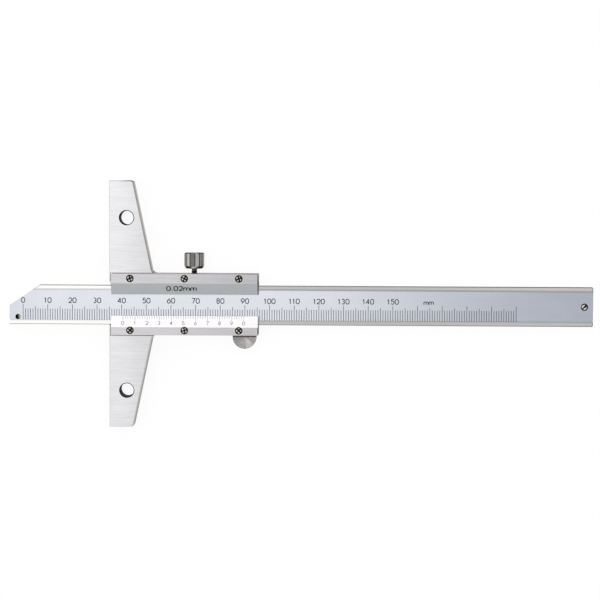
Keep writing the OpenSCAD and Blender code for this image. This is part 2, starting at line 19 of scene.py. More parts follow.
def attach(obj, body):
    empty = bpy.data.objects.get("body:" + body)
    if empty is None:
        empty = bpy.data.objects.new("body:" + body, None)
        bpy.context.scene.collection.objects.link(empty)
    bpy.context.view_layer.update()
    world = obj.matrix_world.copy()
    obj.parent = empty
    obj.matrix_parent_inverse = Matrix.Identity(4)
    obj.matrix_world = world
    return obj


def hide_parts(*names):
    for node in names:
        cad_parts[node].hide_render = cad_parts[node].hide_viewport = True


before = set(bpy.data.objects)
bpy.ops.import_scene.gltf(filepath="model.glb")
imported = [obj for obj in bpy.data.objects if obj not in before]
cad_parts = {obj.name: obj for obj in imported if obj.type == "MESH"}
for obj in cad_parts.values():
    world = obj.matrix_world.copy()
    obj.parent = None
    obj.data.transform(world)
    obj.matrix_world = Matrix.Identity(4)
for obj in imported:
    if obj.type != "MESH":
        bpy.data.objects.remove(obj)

LOG = logging.getLogger("depth_gauge")
MM = 0.001
IMAGE_PX = 600
GRAIN_DEPTH = 0.0025
RING_DEPTH = 0.003
SENSOR_MM = 36.0
CLIP_M = (0.01, 100.0)
Array = np.ndarray
Socket = bpy.types.NodeSocket
Piece = bpy.types.Object
Colour = tuple[float, float, float]
Pair = tuple[float, float]
Surface = tuple[Array, list[Array]]
WHITE: Colour = (1.0, 1.0, 1.0)
ROLLER_AXIS: Pair = (54.75, -13.27)


def srgb(red: float, green: float, blue: float) -> Colour:
    """Linear colour of a screen colour.

    Args:
        red: red as it looks on a screen, 0 to 255.
        green: green, likewise.
        blue: blue, likewise.

    Returns:
        The linear colour, by the standard curve: a straight foot and a power of 2.4 above it.
    """
    shares = (red / 255, green / 255, blue / 255)
    linear = [s / 12.92 if s <= 0.04045 else ((s + 0.055) / 1.055) ** 2.4 for s in shares]
    return linear[0], linear[1], linear[2]


class Signal:
    """A number that varies over a surface. Arithmetic on it adds Math nodes to its graph."""

    def __init__(self, graph: "Graph", socket: Socket) -> None:
        """Wraps one socket of a graph."""
        self.graph = graph
        self.socket = socket

    def __add__(self, other: "Number") -> "Signal":
        """Sum."""
        return self.graph.math("ADD", self, other)

    __radd__ = __add__

    def __sub__(self, other: "Number") -> "Signal":
        """Difference."""
        return self.graph.math("SUBTRACT", self, other)

    def __rsub__(self, other: "Number") -> "Signal":
        """Difference, taken from a number."""
        return self.graph.math("SUBTRACT", other, self)

    def __mul__(self, other: "Number") -> "Signal":
        """Product."""
        return self.graph.math("MULTIPLY", self, other)

    __rmul__ = __mul__

    def __truediv__(self, other: "Number") -> "Signal":
        """Quotient."""
        return self.graph.math("DIVIDE", self, other)

    def __abs__(self) -> "Signal":
        """Size without sign."""
        return self.graph.math("ABSOLUTE", self)

    def above(self, limit: "Number") -> "Signal":
        """1 where the signal is over the limit, and 0 elsewhere."""
        return self.graph.math("GREATER_THAN", self, limit)

    def below(self, limit: "Number") -> "Signal":
        """1 where the signal is under the limit, and 0 elsewhere."""
        return self.graph.math("LESS_THAN", self, limit)

    def within(self, low: "Number", high: "Number") -> "Signal":
        """1 where the signal lies between two limits."""
        return self.above(low) * self.below(high)

    def rise(self, low: float, high: float) -> "Signal":
        """Smooth step from 0 at low to 1 at high."""
        settings = {"interpolation_type": "SMOOTHSTEP", "clamp": True}
        inputs = {"Value": self, "From Min": low, "From Max": high}
        return Signal(self.graph, self.graph.node("ShaderNodeMapRange", settings, inputs).outputs["Result"])


Number = Signal | float


class Graph:
    """The nodes of one material or of the world."""

    def __init__(self, tree: bpy.types.NodeTree) -> None:
        """Starts with an empty tree."""
        self.tree = tree
        tree.nodes.clear()

    def node(self, kind: str, settings: dict, inputs: dict) -> bpy.types.Node:
        """Adds one node.

        Args:
            kind: the node's type.
            settings: its own settings, set first.
            inputs: values or links by the socket's name or number.

        Returns:
            The node.
        """
        made = self.tree.nodes.new(kind)
        for name, value in settings.items():
            setattr(made, name, value)
        for key, value in inputs.items():
            if isinstance(value, Signal):
                self.tree.links.new(value.socket, made.inputs[key])
            elif isinstance(value, Socket):
                self.tree.links.new(value, made.inputs[key])
            elif isinstance(value, tuple) and made.inputs[key].type == "RGBA":
                made.inputs[key].default_value = (*value, 1)
            else:
                made.inputs[key].default_value = value
        return made

    def math(self, operation: str, *values: Number) -> Signal:
        """One Math node of the given operation."""
        inputs = dict(enumerate(values))
        return Signal(self, self.node("ShaderNodeMath", {"operation": operation}, inputs).outputs[0])

    def distance(self, right: Signal, up: Signal) -> Signal:
        """Distance from an axis: the root of the sum of both squares."""
        return self.math("SQRT", right * right + up * up)

    def vector(self, operation: str, first: object, second: object) -> Socket:
        """One Vector Math node; SCALE takes a number as its second value."""
        key = 3 if operation == "SCALE" else 1
        made = self.node("ShaderNodeVectorMath", {"operation": operation}, {0: first, key: second})
        return made.outputs[0]

    def parts(self, socket: Socket) -> tuple[Signal, Signal, Signal]:
        """The three numbers of a vector."""
        x, y, z = (Signal(self, out) for out in self.node("ShaderNodeSeparateXYZ", {}, {0: socket}).outputs)
        return x, y, z

    @cached_property
    def place(self) -> Socket:
        """The shaded point in the part's own frame, in millimetres."""
        return self.vector("SCALE", self.node("ShaderNodeTexCoord", {}, {}).outputs["Object"], 1 / MM)

    def facing(self) -> tuple[Signal, Signal, Signal]:
        """The surface's direction in the part's own frame."""
        return self.parts(self.node("ShaderNodeTexCoord", {}, {}).outputs["Normal"])

    def attribute(self, name: str) -> Signal:
        """A number that the piece's mesh carries."""
        return Signal(self, self.node("ShaderNodeAttribute", {"attribute_name": name}, {}).outputs["Fac"])

    def open_space(self, distance: float) -> Signal:
        """Share of the surroundings within some millimetres that is free: low in gaps and corners."""
        inputs = {"Distance": distance * MM}
        return Signal(self, self.node("ShaderNodeAmbientOcclusion", {"samples": 8}, inputs).outputs["AO"])

    def noise(self, size: Colour, shift: float, detail: float = 2.0, at: Socket | None = None) -> Signal:
        """Soft noise from 0 to 1.

        Args:
            size: width of a grain along each axis, in millimetres.
            shift: a seed, by which the pattern is moved.
            detail: number of finer layers.
            at: point at which the noise is taken, where it isn't the shaded one.

        Returns:
            The noise at point p, taken at p divided by the grain's width along each axis.
        """
        scaled = self.vector("MULTIPLY", self.place if at is None else at, tuple(1 / s for s in size))
        moved = self.vector("ADD", scaled, (shift, shift * 1.7, shift * 0.6))
        made = self.node("ShaderNodeTexNoise", {"noise_dimensions": "3D"},
                         {"Vector": moved, "Scale": 1.0, "Detail": detail, "Roughness": 0.55})
        return Signal(self, made.outputs[0])

    def mix(self, first: object, second: object, share: Number) -> Socket:
        """Colour that goes from the first to the second as share goes from 0 to 1."""
        made = self.node("ShaderNodeMix", {"data_type": "RGBA"}, {0: share, 6: first, 7: second})
        return made.outputs[2]

    def shade(self, colour: object, share: Number) -> Socket:
        """Colour made lighter or darker by a share."""
        return self.vector("SCALE", colour, share)

    def metal(self, colour: object, roughness: Number, metallic: Number, height: Signal, depth: float,
              edge: float) -> None:
        """Ends the graph with a metal surface.

        Args:
            colour: its base colour.
            roughness: its roughness.
            metallic: 1 for bare metal, 0 for dirt and paint.
            height: relief of the surface.
            depth: how high a relief of 1 stands, in millimetres.
            edge: radius in millimetres by which the light sees the edges rounded.
        """
        rounded = self.node("ShaderNodeBevel", {"samples": 6}, {"Radius": edge * MM}).outputs[0]
        bump = self.node("ShaderNodeBump", {}, {"Height": height, "Distance": depth * MM, "Strength": 1.0,
                                                "Normal": rounded})
        inputs = {"Base Color": colour, "Roughness": roughness, "Metallic": metallic, "Normal": bump.outputs[0]}
        shader = self.node("ShaderNodeBsdfPrincipled", {}, inputs)
        self.node("ShaderNodeOutputMaterial", {}, {"Surface": shader.outputs[0]})


class Grain(Enum):
    """Direction in which a surface was ground."""

    ALONG_X = 0
    ALONG_Y = 1
    ALONG_Z = 2

    def size(self, length: float, width: float) -> Colour:
        """Size of one grain line in this direction."""
        x, y, z = (length if axis is self else width for axis in Grain)
        return x, y, z


@dataclass(frozen=True)
class Finish:
    """A finish: its own name and a slot name."""

    name: str
    slot: str

    def build(self, graph: Graph) -> None:
        """Makes the nodes of the finish."""
        raise NotImplementedError

    def material(self) -> bpy.types.Material:
        """The material, made once."""
        made = bpy.data.materials.get(self.name)
        if made is None:
            made = bpy.data.materials.new(self.name)
            made.use_nodes = True
            self.build(Graph(made.node_tree))
        return made

    def dress(self, obj: Piece) -> None:
        """Gives every slot of an object this finish."""
        slots = obj.data.materials
        if not slots:
            slots.append(self.material())
        for index in range(len(slots)):
            slots[index] = self.material()


@dataclass(frozen=True)
class GroundSteel(Finish):
    """Ground steel with a straight grain on its faces; its darker sides, bright chamfers and dark gaps are painted
    light and shade.
    """

    face: Colour = srgb(238, 238, 240)
    side: Colour = srgb(128, 122, 114)
    chamfer: Colour = srgb(226, 224, 222)
    painted_shade: Colour = srgb(66, 60, 54)
    grain: Grain = Grain.ALONG_X
    roughness: float = 0.36
    edge: float = 0.08
    painted_dim_x: Pair = (2.0, 18.0)
    painted_dim: float = 0.13
    streak: float = 0.3
    stain: float = 0.18
    gap: float = 0.45

    def ground(self, graph: Graph) -> tuple[object, Signal, Signal]:
        """Colour, roughness and height of the ground faces.

        Args:
            graph: the material's nodes.

        Returns:
            The face colour with streaks, faint stains and a painted shade that darkens it along X, its roughness, and
            the height of its grain.
        """
        along, _, _ = graph.parts(graph.place)
        streaks = graph.noise(self.grain.size(13, 0.42), 3.1, 3)
        lines = graph.noise(self.grain.size(6, 0.09), 7.7, 2)
        stains = graph.noise((14, 11, 9), 1.3, 3)
        tone = 1 + (streaks - 0.5) * self.streak + (lines - 0.5) * self.streak + (stains - 0.5) * self.stain
        # painted shade: the faces darken along X, where the light falls off to the right
        tone = tone * (1 - along.rise(*self.painted_dim_x) * self.painted_dim)
        rough = self.roughness + (lines - 0.5) * 0.12 + (stains - 0.5) * 0.10
        return graph.shade(self.face, tone), rough, lines + streaks * 0.5

    def sides(self, graph: Graph, face: object, painted_shade: object = None) -> object:
        """Adds the painted shade of upright sides, the chamfers' painted tone and the painted shade in gaps to a
        face's colour.

        Args:
            graph: the material's nodes.
            face: colour of the faces.
            painted_shade: colour of the painted shade in gaps, where it isn't the finish's own.

        Returns:
            The colour of the whole surface.
        """
        _, _, up = graph.facing()
        scale = graph.noise((2.2, 2.2, 0.5), 5.2, 3)
        slope = abs(up)
        # painted light and shade: chamfers and upright sides get their own tones by the way they face the light
        steel = graph.mix(face, graph.shade(self.chamfer, 0.9 + scale * 0.2), slope.within(0.5, 0.8))
        steel = graph.mix(steel, graph.shade(self.side, 0.8 + scale * 0.4), slope.below(0.5))
        # painted shade: gaps and corners darken by how closed in they are
        free = graph.open_space(self.gap).rise(0.25, 0.62)
        return graph.mix(self.painted_shade if painted_shade is None else painted_shade, steel, free)

@dataclass(frozen=True)
class BaseSteel(GroundSteel):
    """The base: painted shade darkens its two extension holes, and painted light and shade lie on its slanted arm
    sides.
    """

    hole_x: float = 7.1
    hole_y: float = 35.0
    hole_r: float = 3.1
    hole_shade: Colour = srgb(22, 20, 16)
    hole_deep: Colour = srgb(134, 135, 140)
    hole_z: Pair = (3.4, 5.4)
    gap_lit: Colour = srgb(150, 147, 143)
    slope_light: Colour = srgb(178, 173, 166)
    slope_dark: Colour = srgb(104, 98, 90)
    slope_z: Pair = (3.5, 6.4)
    top_edge: Colour = srgb(150, 146, 142)

    def build(self, graph: Graph) -> None:
        """Paints shade into the holes, light and shade onto the arms' slanted sides and chamfers, and shade onto the
        sides facing the top.
        """
        x, y, z = graph.parts(graph.place)
        right, above, up = graph.facing()
        face, rough, height = self.ground(graph)
        upper = y.above(0)
        # painted light and shade: gaps on the upper side get a lit grey, gaps on the lower side a dark painted shade
        colour = self.sides(graph, face, graph.mix(self.painted_shade, self.gap_lit, upper))
        speck = graph.noise((1.4, 3.0, 0.8), 8.8, 3)
        # painted light and shade on the slanted sides: lighter low down, darker on the lower arm, whose chamfer is
        # lighter
        slanted = right.above(0.3) * up.below(0.95)
        chamfer = slanted * up.above(0.5)
        low = (1 - z.rise(*self.slope_z)) * (0.3 + upper * 0.7)
        wall = graph.mix(self.slope_dark, self.slope_light, low)
        colour = graph.mix(colour, graph.shade(wall, 0.25 + upper * 0.6 + speck * 0.3), slanted * (1 - chamfer))
        colour = graph.mix(colour, graph.shade(self.slope_light, 1.25 - upper * 0.4 + speck * 0.3), chamfer)
        # painted shade: the sides that face the top of the picture darken to the right
        top = above.above(0.5) * up.below(0.95) * x.rise(2, 9)
        colour = graph.mix(colour, graph.shade(self.top_edge, 1.1 - x.rise(3, 9) * 0.75), top)
        # painted shade in the extension holes: dark walls near the mouth, lighter grey deep down, and no metal sheen
        over_x, over_y = x - self.hole_x, abs(y) - self.hole_y
        in_hole = graph.distance(over_x, over_y).below(self.hole_r)
        hole = graph.mix(self.hole_deep, graph.shade(self.hole_shade, 0.7 + speck * 0.8), z.rise(*self.hole_z))
        colour = graph.mix(colour, hole, in_hole)
        graph.metal(colour, rough + in_hole * 0.5, 1 - in_hole, height, GRAIN_DEPTH, self.edge)


@dataclass(frozen=True)
class Paint:
    """Dark filling of engraved lines, which is found by its depth below the surface."""

    colour: Colour = srgb(38, 38, 42)
    shallow: float = 0.02
    deep: float = 0.075

    def mask(self, depth: Signal) -> Signal:
        """1 where a point lies at an engraved line's depth in millimetres."""
        return depth.within(self.shallow, self.deep)


@dataclass(frozen=True)
class ScaleSteel(GroundSteel):
    """The beam: a satin field with filled graduations, between two ground lands that carry painted light and shade
    along X.
    """

    satin: Colour = srgb(230, 233, 241)
    satin_right: Colour = srgb(228, 233, 247)
    face: Colour = srgb(252, 251, 250)
    rim: Colour = srgb(126, 122, 117)
    rim_right: Colour = srgb(40, 37, 33)
    roughness: float = 0.26
    painted_dim_x: Pair = (0.0, 60.0)
    painted_dim: float = 0.46
    streak: float = 0.08
    stain: float = 0.08
    painted_light_x: Pair = (100.0, 196.0)
    field_z: float = 5.63
    middle_y: float = -0.37
    field_half: float = 6.2
    step_w: float = 0.42
    step_tone: Pair = (0.2, 0.34)
    field_painted_dim_x: Pair = (55.0, 200.0)
    field_painted_dim: float = 0.35
    step_line: float = 0.5
    land_edge: float = 7.7
    tip: Pair = (-40.6, -0.72)
    tip_inward: Pair = (0.5617, -0.8273)
    marks_x: Pair = (-36.08, 165.4)
    hole: Pair = (-37.2, -5.37)
    hole_r: float = 1.12
    paint: Paint = Paint()

    def build(self, graph: Graph) -> None:
        """Mixes the lands, the satin field, the paint and the tip's hole by their places."""
        along, across, height = graph.parts(graph.place)
        _, above, up = graph.facing()
        land, land_rough, lines = self.ground(graph)
        upper = across.above(self.middle_y)
        # painted light: the lands brighten again towards the far right, more on the upper land
        land = graph.shade(land, 1 + along.rise(*self.painted_light_x) * (0.14 + upper * 0.1))
        speck = graph.noise((0.12, 0.12, 0.12), 9.4, 2)
        cloud = graph.noise((22, 6, 6), 2.2, 3)
        from_middle = abs(across - self.middle_y)
        # painted shade: dark lines on the lands beside the field and along the outer edge, unequal on upper and lower
        # land
        beside = from_middle.within(self.field_half, self.field_half + self.step_line)
        outermost = from_middle.above(self.land_edge) * (0.34 - upper * 0.22)
        land = graph.shade(land, 1 - beside * (0.1 + upper * 0.16) - outermost)
        inward = (along - self.tip[0]) * self.tip_inward[0] + (across - self.tip[1]) * self.tip_inward[1]
        cut = 1 - inward.rise(0.0, 0.5)
        land = graph.shade(land, 1 - cut * 0.45)
        # painted light and shade on the satin field: darker to the right, darker at the tip, a little lighter at the
        # window
        tone = 0.985 + (speck - 0.5) * 0.06 + (cloud - 0.5) * 0.09 - along.rise(*self.field_painted_dim_x) * self.field_painted_dim
        tone = (tone + along.rise(-6, 4) * 0.02 - (1 - along.rise(-41, -20)) * 0.07) * (1 - cut * 0.08)
        satin = graph.shade(graph.mix(self.satin, self.satin_right, along.rise(80, 190)), tone)
        # painted shade: the field darkens at its edges, at the foot of the step up to the lands
        wear_and_shade = self.step_tone[0] + along.rise(20, 150) * (self.step_tone[1] - self.step_tone[0])
        satin = graph.shade(satin, 1 - from_middle.rise(self.field_half - self.step_w, self.field_half - 0.1) * wear_and_shade)
        front = up.above(-0.5) * height.above(self.field_z - 0.1)
        on_field = from_middle.below(self.field_half + 0.001) * front
        # painted shade on the beam's side walls: darker to the right, and darker where they face the top of the
        # picture
        rim = graph.shade(graph.mix(self.rim, self.rim_right, along.rise(30, 190)), 1.8 - above.rise(-0.3, 0.3) * 0.8)
        steel = graph.mix(self.sides(graph, land), rim, up.within(-0.5, 0.95) * height.above(3.0))
        colour = graph.mix(steel, satin, on_field)
        filled = self.paint.mask(self.field_z - height) * from_middle.below(self.field_half - 0.01)
        filled = filled * along.within(*self.marks_x)
        colour = graph.mix(colour, self.paint.colour, filled)
        over_x, over_y = along - self.hole[0], across - self.hole[1]
        in_hole = graph.distance(over_x, over_y).below(self.hole_r)
        in_hole = in_hole * height.below(self.field_z - 0.01)
        # painted shade in the tip's hole: dark at the left, lighter towards the right
        colour = graph.mix(colour, graph.mix(srgb(30, 27, 22), srgb(176, 170, 162), over_x.rise(-0.7, 0.6)), in_hole)
        rough = land_rough + on_field * 0.1 + filled * 0.2
        relief = lines * (1 - on_field) + speck * on_field
        graph.metal(colour, rough, 1 - filled, relief, GRAIN_DEPTH, self.edge)


@dataclass(frozen=True)
class PlateSteel(GroundSteel):
    """A cover plate: a ground strip, a satin band that slopes to its thin inner edge, and painted shade at its right
    end.
    """

    satin: Colour = srgb(215, 219, 221)
    face: Colour = srgb(212, 210, 213)
    chamfer: Colour = srgb(140, 136, 130)
    painted_dim_x: Pair = (6.0, 58.0)
    painted_dim: float = 0.14
    streak: float = 0.42
    edge_y: float = 3.98
    side_sign: float = 1.0
    band_w: float = 4.5
    edge_z: float = 6.0
    front_z: float = 8.2
    end_x: Pair = (59.98, 60.06)
    end_tone: Colour = srgb(116, 108, 100)
    band_end_x: Pair = (59.98, 60.06)
    marks_end: float = 59.9
    slot_y: Pair = (8.3, 9.8)
    outer_y: float = 12.3
    satin_roughness: float = 0.5
    paint: Paint = Paint()

    def build(self, graph: Graph) -> None:
        """Mixes strip, band and paint; the depth of a mark is measured square to the sloping band."""
        along, across, height = graph.parts(graph.place)
        face, rough, lines = self.ground(graph)
        drop = (self.front_z - self.edge_z) / self.band_w
        inward = (across - self.edge_y) * self.side_sign
        depth = (self.edge_z + inward * drop - height) / math.hypot(1, drop)
        on_band = inward.within(0.004, self.band_w) * depth.within(-0.01, 0.2)
        speck = graph.noise((0.12, 0.12, 0.12), 4.4, 2)
        streaks = graph.noise((40, 0.5, 0.5), 6.2, 2)
        satin = graph.shade(self.satin, 0.985 + (speck - 0.5) * 0.04 + (streaks - 0.5) * 0.06)
        filled = self.paint.mask(depth) * on_band * along.below(self.marks_end)
        colour = graph.mix(self.sides(graph, face), satin, on_band)
        colour = graph.mix(colour, self.paint.colour, filled)
        # painted shade at the plate's right end, with a painted black shadow where the gib's slot opens behind it
        past_strip, past_band = along.rise(*self.end_x), along.rise(*self.band_end_x)
        past_end = past_strip + inward.below(self.band_w) * (past_band - past_strip)
        end = graph.shade(self.end_tone, 0.7 + speck * 0.6)
        end = graph.mix(end, srgb(8, 8, 7), across.within(*self.slot_y))
        colour = graph.mix(colour, end, past_end)
        # painted shade along the plate's outer edge, darker near the right end
        outer = across.above(self.outer_y)
        colour = graph.mix(colour, graph.shade(colour, 0.8 - along.rise(50, 57) * 0.45), outer)
        roughness = rough + (self.satin_roughness - rough) * on_band
        relief = lines * (1 - on_band) + speck * on_band
        graph.metal(colour, roughness, 1 - filled, relief, GRAIN_DEPTH, self.edge)


@dataclass(frozen=True)
class TurnedSteel(Finish):
    """Turned steel with fine rings round an axis along Y or Z."""

    colour: Colour = srgb(150, 148, 146)
    centre: Pair = (0.0, 0.0)
    axis: Grain = Grain.ALONG_Z
    ring: float = 0.16
    roughness: float = 0.28
    grime: float = 0.2
    edge: float = 0.05
    speckle: float = 0.22

    def polar(self, graph: Graph) -> tuple[Signal, Signal, Signal, Signal]:
        """Place round the axis.

        Args:
            graph: the material's nodes.

        Returns:
            The distance from the axis, the two parts of the unit vector away from it, and the place along it.
        """
        x, y, z = graph.parts(graph.place)
        first, second, along = (x, y, z) if self.axis is Grain.ALONG_Z else (x, z, y)
        away, over = first - self.centre[0], second - self.centre[1]
        radius = graph.math("MAXIMUM", graph.distance(away, over), 0.01)
        return radius, away / radius, over / radius, along

    def turned(self, graph: Graph, radius: Signal, along: Signal) -> tuple[Signal, ...]:
        """Tone, roughness and height of turned rings with specks and stains."""
        rings = graph.math("SINE", (radius + along) * (2 * math.pi / self.ring))
        speck = graph.noise((0.35, 0.35, 0.35), 6.1, 4)
        stain = graph.noise((2.4, 2.4, 2.4), 8.3, 3)
        tone = 1 + rings * 0.04 + (speck - 0.5) * self.speckle - stain.rise(0.45, 0.75) * self.grime
        return tone, self.roughness + (stain - 0.5) * 0.2 + (speck - 0.5) * 0.12, rings * 0.5 + speck

    def build(self, graph: Graph) -> None:
        """Plain turned steel."""
        radius, _, _, along = self.polar(graph)
        tone, rough, height = self.turned(graph, radius, along)
        graph.metal(graph.shade(self.colour, tone), rough, 1.0, height, RING_DEPTH, self.edge)


@dataclass(frozen=True)
class LockSteel(TurnedSteel):
    """The lock screw: painted highlights on every second rib and its cone's front, and painted shade in flutes, cone,
    top edge and thread.
    """

    painted_shade: Colour = srgb(46, 42, 36)
    bright: Colour = srgb(246, 243, 238)
    colour: Colour = srgb(156, 154, 152)

    def build(self, graph: Graph) -> None:
        """Reads the painted rib sheen, the painted shade and the painted highlight that the mesh carries."""
        radius, _, _, along = self.polar(graph)
        tone, rough, height = self.turned(graph, radius, along)
        # painted light and shade: every second rib lighter, painted shade where marked, a painted highlight on the
        # cone's front
        wear_and_shade = graph.shade(self.colour, tone * (0.52 + graph.attribute("painted_rib_sheen") * 1.2))
        wear_and_shade = graph.mix(wear_and_shade, self.painted_shade, graph.attribute("painted_shade") * 0.9)
        colour = graph.mix(wear_and_shade, self.bright, graph.attribute("bright"))
        graph.metal(colour, rough, 1.0, height, RING_DEPTH, self.edge)


@dataclass(frozen=True)
class RollerSteel(TurnedSteel):
    """The roller's turned face: painted reflections make its sectors differ, and painted shade darkens its rim and the
    corner under the plate.
    """

    painted_shade: Colour = srgb(36, 33, 29)
    rim: float = 4.6
    shine_at: float = -62.0
    dark_line_at: float = -86.0

    def toward(self, right: Signal, up: Signal, angle: float) -> Signal:
        """Cosine of the angle between a point's direction from the axis and a given one in degrees."""
        return right * math.cos(math.radians(angle)) + up * math.sin(math.radians(angle))

    def build(self, graph: Graph) -> None:
        """A painted highlight sector, a painted dark line beside it, and painted shade by how closed in a point is."""
        radius, right, up, along = self.polar(graph)
        tone, rough, height = self.turned(graph, radius, along)
        fan = graph.node("ShaderNodeCombineXYZ", {}, {0: right, 1: up, 2: radius * 0.08}).outputs[0]
        blotch = graph.noise((1.1, 1.1, 1.1), 12.4, 3)
        tone = tone + (blotch - 0.5) * 0.55
        # painted reflections: sectors differ in tone, one gets a painted highlight, a narrow dark line lies beside it,
        # the left is darker
        sectors = graph.noise((0.32, 0.32, 0.5), 4.7, 3, fan)
        tone = tone * (0.92 + (sectors - 0.5) * 0.45 + self.toward(right, up, self.shine_at).rise(0.8, 0.97) * 0.36)
        tone = tone * (1 - self.toward(right, up, self.dark_line_at).rise(0.985, 0.999) * 0.22)
        tone = tone * (1 - self.toward(right, up, 165).rise(0.3, 0.95) * 0.3)
        # painted shade: a dark rim, and dark where the roller is closed in, as in the corner under the plate
        colour = graph.mix(graph.shade(self.colour, tone), self.painted_shade, radius.rise(self.rim, self.rim + 0.25) * 0.6)
        free = graph.open_space(1.3).rise(0.76, 0.94)
        colour = graph.mix(self.painted_shade, colour, free)
        graph.metal(colour, rough, 1.0, height, RING_DEPTH, self.edge)


@dataclass(frozen=True)
class ScrewSteel(Finish):
    """Dark oiled steel, worn bright on its face; the drive, the rim and the face's upper right keep painted shade."""

    name: str = "dark_screw_steel"
    slot: str = "screw_steel"
    dark: Colour = srgb(32, 28, 21)
    bright: Colour = srgb(246, 243, 234)
    roughness: float = 0.26

    def build(self, graph: Graph) -> None:
        """Bare metal shows where the mesh's mark of wear and painted shade says, more in some places than in others.
        """
        patch = graph.noise((0.9, 0.9, 0.9), 2.9, 2)
        speck = graph.noise((0.14, 0.14, 0.14), 5.5, 3)
        wear_and_shade = graph.attribute("wear_and_shade") * (0.35 + patch.rise(0.38, 0.58) * 0.65)
        colour = graph.shade(graph.mix(self.dark, self.bright, wear_and_shade), 0.85 + speck * 0.3)
        graph.metal(colour, self.roughness + patch * 0.2, 1.0, speck, 0.004, 0.04)


@dataclass(frozen=True)
class GibBrass(Finish):
    """Plain drawn brass, slightly tarnished."""

    colour: Colour = srgb(206, 176, 106)
    tarnish: Colour = srgb(138, 104, 58)

    def build(self, graph: Graph) -> None:
        """Long draw lines and soft tarnish."""
        lines = graph.noise((9, 0.12, 0.12), 4.2, 2)
        cloud = graph.noise((5, 3, 3), 6.6, 4)
        colour = graph.shade(graph.mix(self.colour, self.tarnish, cloud.rise(0.4, 0.75)), 0.92 + lines * 0.16)
        graph.metal(colour, 0.3 + cloud * 0.25, 1.0, lines, 0.003, 0.06)


@dataclass(frozen=True)
class PaleFloor(Finish):
    """White floor that shows plain white and keeps a trace of the object's shadow."""

    colour: Colour = (0.96, 0.96, 0.96)
    glow: float = 0.9
    white: float = 1.03

    def build(self, graph: Graph) -> None:
        """White light for the camera and for reflections, and a pale matt surface for the rest."""
        speck = graph.noise((9, 9, 9), 1.1, 2)
        matt = graph.node("ShaderNodeBsdfDiffuse", {},
                          {"Color": graph.shade(self.colour, 0.99 + speck * 0.02)})
        light = graph.node("ShaderNodeEmission", {}, {"Color": WHITE, "Strength": self.white})
        path = graph.node("ShaderNodeLightPath", {}, {})
        seen = [Signal(graph, path.outputs[f"Is {kind} Ray"]) for kind in ("Camera", "Glossy", "Transmission")]
        share = graph.math("MAXIMUM", graph.math("MAXIMUM", seen[0], seen[1]), seen[2]) * self.glow
        mixed = graph.node("ShaderNodeMixShader", {}, {0: share, 1: matt.outputs[0], 2: light.outputs[0]})
        graph.node("ShaderNodeOutputMaterial", {}, {"Surface": mixed.outputs[0]})


def add_object(name: str, data: bpy.types.ID) -> Piece:
    """Puts an object with some data into the scene."""
    obj = bpy.data.objects.new(name, data)
    bpy.context.scene.collection.objects.link(obj)
    return obj


def mesh_object(name: str, points: Array, faces: list[Array], smooth_angle: float) -> Piece:
    """Makes an object from points and faces.

    Args:
        name: the piece's name.
        points: corners, one row each, in millimetres.
        faces: arrays of corner numbers, one array for each number of corners a face, counter-clockwise from outside.
        smooth_angle: edges sharper than this many degrees stay sharp.

    Returns:
        The object, at the origin.
    """
    sizes = np.concatenate([np.full(len(f), f.shape[1]) for f in faces])
    corners = np.concatenate([f.ravel() for f in faces])
    mesh = bpy.data.meshes.new(name)
    mesh.vertices.add(len(points))
    mesh.vertices.foreach_set("co", (points * MM).astype(np.float32).ravel())
    mesh.loops.add(len(corners))
    mesh.loops.foreach_set("vertex_index", corners.astype(np.int32))
    mesh.polygons.add(len(sizes))
    mesh.polygons.foreach_set("loop_start", np.concatenate([[0], np.cumsum(sizes)[:-1]]).astype(np.int32))
    mesh.polygons.foreach_set("use_smooth", np.ones(len(sizes), bool))
    mesh.update(calc_edges=True)
    mesh.validate()
    mesh.set_sharp_from_angle(angle=math.radians(smooth_angle))
    LOG.info("%s: %d points", name, len(points))
    return add_object(name, mesh)


def carry(obj: Piece, name: str, values: Array) -> None:
    """Stores one number for each point of a piece's mesh, which its material reads by name."""
    layer = obj.data.attributes.new(name, "FLOAT", "POINT")
    layer.data.foreach_set("value", values.astype(np.float32))


def lathe(profile: Array, count: int, cut: Callable = lambda radius, height, angle: radius,
          lift: Callable = lambda radius, height, angle: np.zeros_like(radius)) -> Surface:
    """Closed surface of a profile carried round an axis.

    Args:
        profile: rows of radius and height from the foot up; the first and the last lie on the axis.
        count: number of steps round the axis.
        cut: gives the radius from the profile's radius, its height and the angle. By default it keeps the radius.
        lift: gives the change of height from the same three. By default there is none.

    Returns:
        Points (radius times cosine, radius times sine, height) and the arrays of faces: quads between the rings, and
        a fan of triangles at each pole.
    """
    angle = np.linspace(0, 2 * np.pi, count, endpoint=False)[None, :]
    radius, height = profile[1:-1, 0, None], profile[1:-1, 1, None]
    radius, height, angle = np.broadcast_arrays(radius, height, angle)
    away = cut(radius, height, angle)
    level = height + lift(radius, height, angle)
    rings = np.stack([away * np.cos(angle), away * np.sin(angle), level], -1).reshape(-1, 3)
    poles, zero = profile[[0, -1], 1], np.zeros(2)
    ends = np.stack([zero, zero, poles + lift(zero, poles, zero)], -1)
    points = np.concatenate([rings, ends])
    rows = len(profile) - 2
    row, step = np.meshgrid(np.arange(rows - 1), np.arange(count), indexing="ij")
    following = (step + 1) % count
    quads = np.stack([row * count + step, row * count + following, (row + 1) * count + following,
                      (row + 1) * count + step], -1).reshape(-1, 4)
    step, following = step[0], following[0]
    foot = np.stack([np.full(count, rows * count), following, step], -1)
    last = (rows - 1) * count
    head = np.stack([np.full(count, rows * count + 1), last + step, last + following], -1)
    return points, [quads, np.concatenate([foot, head])]


